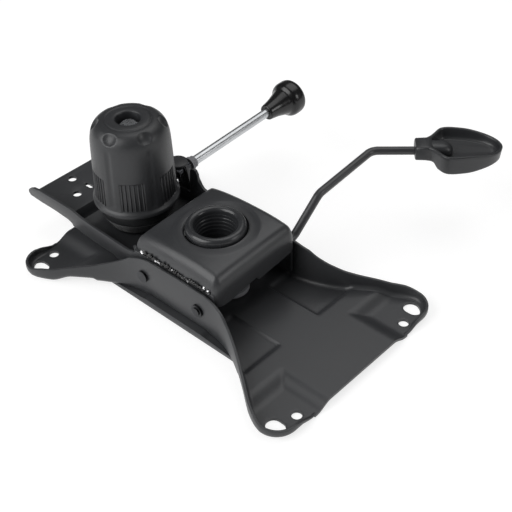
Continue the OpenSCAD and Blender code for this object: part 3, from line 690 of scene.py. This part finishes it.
def knobShape(radius, height, angle):
    if not onKnobSkin(radius, height):
        return radius, height
    away = math.radians(nearestSixth(angle, knob["firstDent"]))
    flute = (1 - min(1.0, abs(radius * away) / knob["fluteHalf"]) ** 2) ** 2
    flute *= smoothStep(height, *knob["fluteStart"]) * (1 - smoothStep(height, *knob["fluteEnd"]))
    radius -= knob["fluteDepth"] * flute
    across = abs(nearestSixth(angle, knob["firstDent"] - 30))
    (low, high), (aside, ends) = knob["panelZ"], knob["panelSoft"]
    panel = 1 - smoothStep(across, knob["panelHalf"] - aside, knob["panelHalf"] + aside)
    panel *= smoothStep(height, low - ends, low + ends) * (1 - smoothStep(height, high - ends, high + ends))
    radius -= knob["panelDepth"] * panel
    spot = Vector((radius * math.cos(away), radius * math.sin(away), height))
    offset = spot - dentBall
    if offset.length < knob["ball"]:
        along = offset.dot(dentNormal)
        push = along + math.sqrt(max(0.0, knob["ball"] ** 2 - (offset.length_squared - along ** 2)))
        spot -= dentNormal * push
        return math.hypot(spot.x, spot.y), spot.z
    return radius, height


knobOutline = knobOuter[:5] + splineLine(knobOuter[5:], 0.75) + softCorners(knobTop, 0.6, 2, False)
knobMesh = turnedMesh("knob", knobOutline, knob["at"], steps=288, shape=knobShape)


def ribTree():  # ribs stand in groups round a cone, each a bar with round ends
    tree, given = startTree("knob ribs", (
        ("Groups", "Int", 6), ("Ribs", "Int", 6), ("Pitch", "Float", 0.1), ("First angle", "Float", 0.0),
        ("Radius", "Float", 0.03), ("Middle height", "Float", 0.07), ("Half length", "Float", 0.012),
        ("Width", "Float", 0.002), ("Depth", "Float", 0.002), ("Lean", "Float", 0.0),
        ("Centre", "Vector", (0, 0, 0)), ("Finish", "Material", None)))
    total = mathOf(tree, "MULTIPLY", given["Groups"], given["Ribs"])
    spots = addNode(tree, "GeometryNodePoints", {"Count": total})
    index = addNode(tree, "GeometryNodeInputIndex").outputs[0]
    group = mathOf(tree, "FLOOR", mathOf(tree, "DIVIDE", index, given["Ribs"]))
    order = mathOf(tree, "MODULO", index, given["Ribs"])
    middle = mathOf(tree, "DIVIDE", mathOf(tree, "SUBTRACT", given["Ribs"], 1.0), 2.0)
    aside = mathOf(tree, "MULTIPLY", mathOf(tree, "SUBTRACT", order, middle), given["Pitch"])
    perGroup = mathOf(tree, "DIVIDE", 2 * math.pi, given["Groups"])
    angle = mathOf(tree, "ADD", mathOf(tree, "MULTIPLY_ADD", group, perGroup, given["First angle"]), aside)
    x = mathOf(tree, "MULTIPLY", mathOf(tree, "COSINE", angle), given["Radius"])
    y = mathOf(tree, "MULTIPLY", mathOf(tree, "SINE", angle), given["Radius"])
    local = addNode(tree, "ShaderNodeCombineXYZ", {"X": x, "Y": y, "Z": given["Middle height"]}).outputs[0]
    placed = vectorOf(tree, "ADD", local, given["Centre"])
    moved = addNode(tree, "GeometryNodeSetPosition", {"Geometry": spots.outputs[0], "Position": placed})
    lean = mathOf(tree, "MULTIPLY", given["Lean"], -1.0)
    facing = addNode(tree, "ShaderNodeCombineXYZ", {"Y": lean, "Z": angle}).outputs[0]
    ball = addNode(tree, "GeometryNodeMeshUVSphere", {"Segments": 10, "Rings": 8, "Radius": 0.5})
    where = addNode(tree, "GeometryNodeInputPosition").outputs[0]
    height = addNode(tree, "ShaderNodeSeparateXYZ", {0: where}).outputs["Z"]
    stretch = mathOf(tree, "MULTIPLY", mathOf(tree, "SIGN", height), given["Half length"])
    wide = addNode(tree, "ShaderNodeCombineXYZ", {"X": given["Depth"], "Y": given["Width"],
                                                  "Z": given["Width"]}).outputs[0]
    longer = addNode(tree, "ShaderNodeCombineXYZ", {"Z": stretch}).outputs[0]
    ends = vectorOf(tree, "ADD", vectorOf(tree, "MULTIPLY", where, wide), longer)
    bar = addNode(tree, "GeometryNodeSetPosition", {"Geometry": ball.outputs["Mesh"], "Position": ends})
    copies = addNode(tree, "GeometryNodeInstanceOnPoints", {"Points": moved.outputs[0],
                                                            "Instance": bar.outputs[0], "Rotation": facing})
    return endTree(tree, copies, given["Finish"])


ribsMesh = growMesh("ribs", ribTree(), {
    "Groups": knob["dents"], "Ribs": knob["ribs"], "Pitch": math.radians(knob["ribPitch"]),
    "First angle": math.radians(knob["firstDent"] - 30), "Radius": knob["ribRadius"] * mm,
    "Middle height": knob["ribZ"] * mm, "Half length": knob["ribHalf"] * mm, "Width": knob["ribWidth"] * mm,
    "Depth": knob["ribDepth"] * mm, "Lean": math.atan2(*knob["ribLean"]), "Centre": Vector(knob["at"]) * mm,
    "Finish": finishes["knob"]})
makePiece("ribbed_tension_knob", joinMeshes("knob", [knobMesh, ribsMesh]), "knob", "knob",
          ["tension_knob"], 40)


# spring cup: ridged cone under the knob's skirt

cup = {"at": (-93.5, 0.0, 0.0), "ridges": 5, "lowRadius": 25.9, "highRadius": 30.4, "lowZ": 28.6,
       "pitch": 2.15, "spread": 0.9}


def cupOutline():
    line = [(6.05, 25), (12, 25), (12, 28), (24.6, 28)]
    for k in range(cup["ridges"]):
        t = k / (cup["ridges"] - 1)
        radius = cup["lowRadius"] + (cup["highRadius"] - cup["lowRadius"]) * t ** cup["spread"]
        z = cup["lowZ"] + cup["pitch"] * k
        line += [(radius - 1.7, z - 0.1), (radius, z + 0.25), (radius + 0.15, z + 0.75), (radius, z + 1.2),
                 (radius - 1.6, z + 1.5)]
    line += [(29.5, 39.2), (30.6, 39.8), (30.6, 49.3), (28.6, 49.3), (28.6, 39), (26, 34), (23.5, 31),
             (6.05, 31)]
    return line


makePiece("ridged_spring_cup", turnedMesh("cup", softCorners(cupOutline(), 0.35, 2), cup["at"], steps=144),
          "cup", "cup", ["spring_cup"], 40)


# tension spring: round wire coiled between the cup and the washer

spring = {"radius": 17.0, "wire": 3.0, "turns": 5.5, "low": 31.4, "high": 93.6, "steps": 32, "around": 14}


def springMesh():
    wire, around = spring["wire"], spring["around"]
    rise = (spring["high"] - spring["low"] - 2 * wire) / spring["turns"]
    lean = math.atan(rise / (2 * math.pi * spring["radius"]))
    count = round(spring["turns"] * spring["steps"]) + 1
    points = []
    for i in range(count):
        angle = 2 * math.pi * i / spring["steps"]
        out = Vector((math.cos(angle), math.sin(angle), 0))
        side = Vector((out.y * math.sin(lean), -out.x * math.sin(lean), math.cos(lean)))
        height = spring["low"] + wire + rise * i / spring["steps"]
        centre = out * spring["radius"] + Vector((knob["at"][0], 0, height))
        turns = [2 * math.pi * j / around for j in range(around)]
        points += [centre + wire * (math.cos(turn) * out + math.sin(turn) * side) for turn in turns]
    return meshFrom("spring", points, tubeFaces(count, around))


springPiece = makePiece("coiled_tension_spring", springMesh(), "spring", "bolt",
                        ["tension_spring"])
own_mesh(springPiece)


# gas lever paddle: hollow leaf with a rolled rim, a collar and a boss for the rod

paddle = {"at": (56.57, 174.79, 68.7), "turn": 41.0, "up": 8.4, "tipUp": 5.4, "down": 8.6, "rim": 2.7,
          "floor": -1.6, "samples": 160, "tip": (40.0, 71.0), "tipRise": 3.6, "heel": (13.5, 17.5),
          "heelRise": 3.6, "spine": (20.0, 64.0), "side": 0.8, "perCorner": 7}
paddleHalf = [(10.0, 0.0), (10.0, 7.4), (12.0, 9.4), (14.2, 11.6), (17, 15.4), (20, 19.6), (23, 22.3),
              (27, 23.5), (33, 23.4), (46, 21.0), (58, 17.0), (65, 12.6), (69.2, 7.6), (71.2, 2.6),
              (71.5, 0.0)]


def leafLoop():  # points at even steps along the leaf's edge
    half = splineLine(paddleHalf, 0.6)
    edge = half + [(u, -w) for u, w in half[-2:0:-1]]
    lengths = [0.0]
    for a, b in zip(edge, edge[1:] + edge[:1]):
        lengths.append(lengths[-1] + math.dist(a, b))
    loop, k = [], 0
    for i in range(paddle["samples"]):
        target = lengths[-1] * i / paddle["samples"]
        while lengths[k + 1] < target:
            k += 1
        t = (target - lengths[k]) / (lengths[k + 1] - lengths[k])
        loop.append(Vector(edge[k]).lerp(Vector(edge[(k + 1) % len(edge)]), t))
    return loop


def leafRows():  # rings of (place, height): underside, side, rolled rim and hollow
    loop = leafLoop()
    ways = [(b - a).normalized() for a, b in zip(loop[-1:] + loop[:-1], loop[1:] + loop[:1])]
    inward = [Vector((way.y, -way.x)) for way in ways]
    spine = [Vector((min(paddle["spine"][1], max(paddle["spine"][0], p.x)), 0.0)) for p in loop]
    tips = [smoothStep(p.x, *paddle["tip"]) for p in loop]
    tops = [paddle["up"] + (paddle["tipUp"] - paddle["up"]) * tip for tip in tips]
    heels = [1 - smoothStep(p.x, *paddle["heel"]) for p in loop]
    feet = [paddle["tipRise"] * tip + paddle["heelRise"] * heel - paddle["down"]
            for tip, heel in zip(tips, heels)]
    rim, floor, side = paddle["rim"], paddle["floor"], paddle["side"]

    def ringAt(inset, heights, toSpine=0.0):
        return [((p + way * inset).lerp(middle, toSpine), z)
                for p, way, middle, z in zip(loop, inward, spine, heights)]

    rows = [ringAt(3.4, feet, toSpine) for toSpine in (1.0, 0.85, 0.6, 0.3)]
    for inset, lift in ((3.4, 0.0), (2.2, 0.08), (1.4, 0.35), (0.95, 0.95), (side, 2.0)):
        rows.append(ringAt(inset, [foot + lift for foot in feet]))
    for share in (0.35, 0.6, 0.8):
        rows.append(ringAt(side - share * side, [foot + 2.6 + (top - foot - 3.6) * share
                                                 for foot, top in zip(feet, tops)]))
    for inset, drop in ((0.0, 1.0), (0.25, 0.4), (0.8, 0.05), (1.3, 0.0), (rim - 0.8, 0.1), (rim - 0.25, 0.5),
                        (rim, 1.1)):
        rows.append(ringAt(inset, [top - drop for top in tops]))
    for inset, share in ((0.3, 0.35), (0.7, 0.7), (1.5, 0.9), (3.0, 1.0)):
        rows.append(ringAt(rim + inset, [top - 1.1 + (floor - top + 1.1) * share for top in tops]))
    for toSpine in (0.35, 0.65, 0.88, 1.0):
        rows.append(ringAt(rim + 3.0, [floor - 0.6 * toSpine] * len(loop), toSpine))
    return rows


def barMesh(home, turn, sections):  # rings along the axis: place, half width, low, high, corner
    spots, perCorner = [], paddle["perCorner"]
    for u, half, low, high, corner in sections:
        corner = min(corner, half * 0.98, (high - low) * 0.49)
        across, bottom, top = half - corner, low + corner, high - corner
        for k, (y, z) in enumerate(((across, top), (-across, top), (-across, bottom), (across, bottom))):
            for i in range(perCorner):
                a = math.radians(90 * k + 90 / (perCorner - 1) * i)
                spots.append(home + turn @ Vector((u, y + corner * math.cos(a), z + corner * math.sin(a))))
    return meshFrom("bar", spots, tubeFaces(len(sections), 4 * perCorner))


def paddleMesh():
    home, turn = Vector(paddle["at"]), Matrix.Rotation(math.radians(paddle["turn"]), 4, "Z")
    rows = leafRows()
    points = [home + turn @ Vector((p.x, p.y, z)) for row in rows for p, z in row]
    leaf = meshFrom("leaf", points, gridFaces(len(rows), paddle["samples"]))
    collar = barMesh(home, turn, [
        (0.0, 7.3, -3.8, 7.0, 3.0), (0.3, 8.1, -4.6, 7.8, 3.0), (1.0, 8.5, -5.0, 8.3, 3.0),
        (9.0, 8.7, -5.0, 8.4, 2.6), (13.2, 9.6, -5.0, 8.2, 2.4), (14.2, 9.2, -4.0, 7.4, 2.4)])
    boss = barMesh(home, turn, [
        (9.0, 7.9, -4.5, 7.9, 6.2), (22.0, 7.8, -4.4, 7.8, 6.2), (26.0, 7.3, -4.2, 7.2, 6.0),
        (28.6, 6.0, -3.8, 5.7, 5.0), (30.4, 4.2, -3.2, 3.8, 3.4), (31.3, 1.8, -2.6, 1.6, 1.4)])
    return joinMeshes("paddle", [leaf, collar, boss])


makePiece("leaf_lever_paddle", paddleMesh(), "paddle", "gas_handle", ["lever_paddle"], 46)


# lock handle: polished mushroom on a chromed rod; the rod's end that runs in the guide is chromed too, and
# its dark finish is painted shade

lockHandle = {"at": (-86.0, 0.0, 53.8), "knobAt": (-86.0, 150.0, 53.8), "pivot": (-86.0, 45.0, 53.8),
              "rise": 2.7, "radius": 4.0, "chamfer": 0.5, "from": 36.8, "paintedShadeEnd": 54.0, "to": 161.0}
mushroom = [(6.4, 0), (6.9, 0.4), (7.2, 1.4), (7.6, 4), (8.7, 10), (10.1, 15), (11.5, 19.4), (12.1, 21.2),
            (12.9, 22.3), (14.2, 23.4), (15.3, 24.9), (15.9, 27.2), (16.0, 30.0), (15.9, 33.0), (15.1, 35.6),
            (12.8, 37.6), (8.5, 38.8), (4.0, 39.15), (0.0, 39.2)]


def risingMesh(name, outline, place, steps):  # turned along Y, then raised to the handle's own line
    pivot = Matrix.Translation(Vector(lockHandle["pivot"]) * mm)
    mesh = turnedMesh(name, outline, place, "Y", steps)
    mesh.transform(pivot @ Matrix.Rotation(math.radians(lockHandle["rise"]), 4, "X") @ pivot.inverted())
    return mesh


def rodOutline(start, end):
    radius, chamfer = lockHandle["radius"], lockHandle["chamfer"]
    return [(0.0, start), (radius - chamfer, start), (radius, start + chamfer), (radius, end - chamfer),
            (radius - chamfer, end), (0.0, end)]


knobBore = lockHandle["radius"] + 0.02
knobProfile = [(knobBore, 0.4), (5.4, 0.0)] + splineLine(mushroom, 0.6) + [(0.0, 11.4), (knobBore, 11.4)]
makePiece("polished_lock_knob", risingMesh("lockKnob", knobProfile, lockHandle["knobAt"], 96), "gloss",
          "lock_handle", ["lock_knob"])
chromed = risingMesh("chromedRod", rodOutline(lockHandle["paintedShadeEnd"], lockHandle["to"]), lockHandle["at"], 64)
makePiece("chromed_lock_rod", chromed, "chrome", "lock_handle", ["lock_rod"])
# the rod's end inside the guide gets the dark zinc finish as painted shade; the real rod is chromed all along
shadePaintedEnd = risingMesh("shadePaintedRodEnd", rodOutline(lockHandle["from"], lockHandle["paintedShadeEnd"]), lockHandle["at"], 64)
makePiece("shade_painted_lock_rod_end", shadePaintedEnd, "pin", "lock_handle")


# weld beads: short lumps run together along the seam

def weldTree():
    tree, given = startTree("weld lumps", (
        ("Lumps", "Int", 40), ("Start", "Vector", (0, 0, 0)), ("Step", "Vector", (0.002, 0, 0)),
        ("Scatter", "Vector", (0, 0, 0)), ("Smallest", "Vector", (1, 1, 1)), ("Largest", "Vector", (1, 1, 1)),
        ("Seed", "Int", 3), ("Finish", "Material", None)))

    def randomOf(low, high):
        return addNode(tree, "FunctionNodeRandomValue", {"Min": low, "Max": high, "Seed": given["Seed"]},
                       data_type="FLOAT_VECTOR").outputs[0]

    line = addNode(tree, "GeometryNodeMeshLine", {"Count": given["Lumps"], "Start Location": given["Start"],
                                                  "Offset": given["Step"]}, mode="OFFSET")
    stray = randomOf(vectorOf(tree, "MULTIPLY", given["Scatter"], (-1, -1, -1)), given["Scatter"])
    moved = addNode(tree, "GeometryNodeSetPosition", {"Geometry": line.outputs[0], "Offset": stray})
    lump = addNode(tree, "GeometryNodeMeshIcoSphere", {"Radius": 1.0, "Subdivisions": 3})
    copies = addNode(tree, "GeometryNodeInstanceOnPoints", {
        "Points": moved.outputs[0], "Instance": lump.outputs["Mesh"],
        "Rotation": randomOf((-0.5, -0.6, -0.5), (0.5, 0.6, 0.5)),
        "Scale": randomOf(given["Smallest"], given["Largest"])})
    return endTree(tree, copies, given["Finish"])


weld = {"lumps": 36, "startX": -39.5, "step": 2.06, "y": 44.9, "z": 45.3, "scatter": (0.7, 0.3, 1.2),
        "smallest": (1.0, 0.7, 0.9), "largest": (2.9, 1.35, 2.6)}
lumps = weldTree()
for side, label in ((-1, "near"), (1, "far")):
    beads = growMesh("weld", lumps, {
        "Lumps": weld["lumps"], "Start": Vector((weld["startX"], side * weld["y"], weld["z"])) * mm,
        "Step": Vector((weld["step"], 0, 0)) * mm, "Scatter": Vector(weld["scatter"]) * mm,
        "Smallest": Vector(weld["smallest"]) * mm, "Largest": Vector(weld["largest"]) * mm,
        "Seed": 5 + side, "Finish": finishes["weld"]})
    makePiece("weld_run_" + label, beads, "weld", "bracket", ["weld_bead_" + label], 60)


# bracket, guide and pad: the solids' own shapes with their sheared edges broken

for node, name, finish, slotName, width in (
        ("tilt_bracket", "folded_tilt_bracket", "sheet", "black_steel", 0.5),
        ("lock_guide", "bent_lock_guide", "sheet", "black_steel", 0.45),
        ("release_pad", "moulded_release_pad", "nylon", "grey_nylon", 0.5)):
    body = "gas_handle" if node == "release_pad" else "bracket"
    makePiece(name, roundedCopy(node, width), finish, body, [node], 38)


# the other solids keep their shape and get their finish

kept = {"pin": ("pivot_axle", "pivot_clip", "stop_pin", "stop_pin_washer", "lock_rod_clip"),
        "nylon": ("pivot_bush_near", "pivot_bush_far", "lever_bush", "lock_ferrule"),
        "zinc": ("tension_bolt", "bolt_end_clip", "thrust_washer", "lever_clip"),
        "chrome": ("knob_nut",), "rod": ("gas_lever_rod",)}
for finish, nodes in kept.items():
    for node in nodes:
        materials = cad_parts[node].data.materials
        materials.clear()
        materials.append(finishes[finish])
print("solids dressed:", sum(len(nodes) for nodes in kept.values()))


# floor, light and camera

stage = {"paper": "#ffffff", "shadowShare": 0.34, "glow": 1.16, "half": 6.0, "drop": 0.2 * mm}
studio = {"ambient": 0.12, "aim": (0.0, 10.0, 40.0),
          "lamps": {  # bearing and height in degrees, distance and size in metres, power in watts
              "softbox left": (-22, 35, 1.5, 1.4, 21.5),
              "softbox above": (-170, 66, 1.5, 1.3, 8.0),
              "strip right": (115, 24, 1.6, 0.5, 3.6)}}
view = {"bearing": 43.745, "height": 39.82, "roll": -1.69, "place": (460.5, -439.8, 563.7),
        "focalPixels": 1058.4, "framePixels": 512, "sensor": 36.0, "near": 0.05, "far": 20.0}


def wayTo(bearing, height):  # unit vector towards a bearing and height in degrees
    a, e = math.radians(bearing), math.radians(height)
    return Vector((math.sin(a) * math.cos(e), -math.cos(a) * math.cos(e), math.sin(e)))


def seenBy(tree, *kinds):  # 1 for these kinds of ray and 0 for the others
    rays = addNode(tree, "ShaderNodeLightPath").outputs
    total = rays[kinds[0]]
    for kind in kinds[1:]:
        total = mathOf(tree, "ADD", total, rays[kind])
    return mathOf(tree, "MINIMUM", total, 1.0)


def floorMaterial():
    # matt white paper that stays white to the eye and keeps a soft shadow
    material = bpy.data.materials.new("matt white paper")
    material.use_nodes = True
    tree = material.node_tree
    tree.nodes.clear()
    out = addNode(tree, "ShaderNodeOutputMaterial")
    paper = addNode(tree, "ShaderNodeBsdfDiffuse", {"Color": linearColour(stage["paper"])})
    white = addNode(tree, "ShaderNodeEmission", {"Color": (1, 1, 1, 1), "Strength": stage["glow"]})
    seen = seenBy(tree, "Is Camera Ray", "Is Glossy Ray", "Is Transmission Ray")
    share = mathOf(tree, "MULTIPLY", seen, 1 - stage["shadowShare"])
    mix = addNode(tree, "ShaderNodeMixShader", {0: share, 1: paper.outputs[0], 2: white.outputs[0]})
    tree.links.new(mix.outputs[0], out.inputs["Surface"])
    return material


def makeFloor():
    half, z = stage["half"], -stage["drop"]
    mesh = bpy.data.meshes.new("floor")
    corners = [(x * half, y * half, z) for x, y in ((-1, -1), (1, -1), (1, 1), (-1, 1))]
    mesh.from_pydata(corners, [], [(0, 1, 2, 3)])
    mesh.materials.append(floorMaterial())
    floor = addObject("floor", mesh)


def makeWorld():
    world = bpy.data.worlds.new("studio")
    bpy.context.scene.world = world
    world.use_nodes = True
    tree = world.node_tree
    tree.nodes.clear()
    out = addNode(tree, "ShaderNodeOutputWorld")
    seen = seenBy(tree, "Is Camera Ray", "Is Transmission Ray")
    soft = addNode(tree, "ShaderNodeBackground", {"Color": (1, 1, 1, 1), "Strength": studio["ambient"]})
    white = addNode(tree, "ShaderNodeBackground", {"Color": (1, 1, 1, 1), "Strength": 1.0})
    mix = addNode(tree, "ShaderNodeMixShader", {0: seen, 1: soft.outputs[0], 2: white.outputs[0]})
    tree.links.new(mix.outputs[0], out.inputs["Surface"])


def makeLamps():
    aim = Vector(studio["aim"]) * mm
    for label, (bearing, height, distance, size, power) in studio["lamps"].items():
        way = wayTo(bearing, height)
        light = bpy.data.lights.new(label, "AREA")
        light.shape, light.size, light.energy = "SQUARE", size, power
        lamp = addObject(label, light)
        lamp.location = aim + way * distance
        lamp.rotation_euler = way.to_track_quat("Z", "Y").to_euler()


def makeCamera():
    back, r = wayTo(view["bearing"], view["height"]), math.radians(view["roll"])
    right = Vector((0, 0, 1)).cross(back).normalized()
    up = back.cross(right)
    right, up = right * math.cos(r) + up * math.sin(r), up * math.cos(r) - right * math.sin(r)
    data = bpy.data.cameras.new("camera")
    data.sensor_width, data.sensor_fit = view["sensor"], "HORIZONTAL"
    data.lens = view["focalPixels"] / view["framePixels"] * view["sensor"]
    data.clip_start, data.clip_end = view["near"], view["far"]
    camera = addObject("camera", data)
    pose = Matrix((right, up, back)).transposed().to_4x4()
    pose.translation = Vector(view["place"]) * mm
    camera.matrix_world = pose
    bpy.context.scene.camera = camera


makeFloor()
makeWorld()
makeLamps()
makeCamera()
bpy.context.scene.view_settings.view_transform = "Standard"
print("stage set")
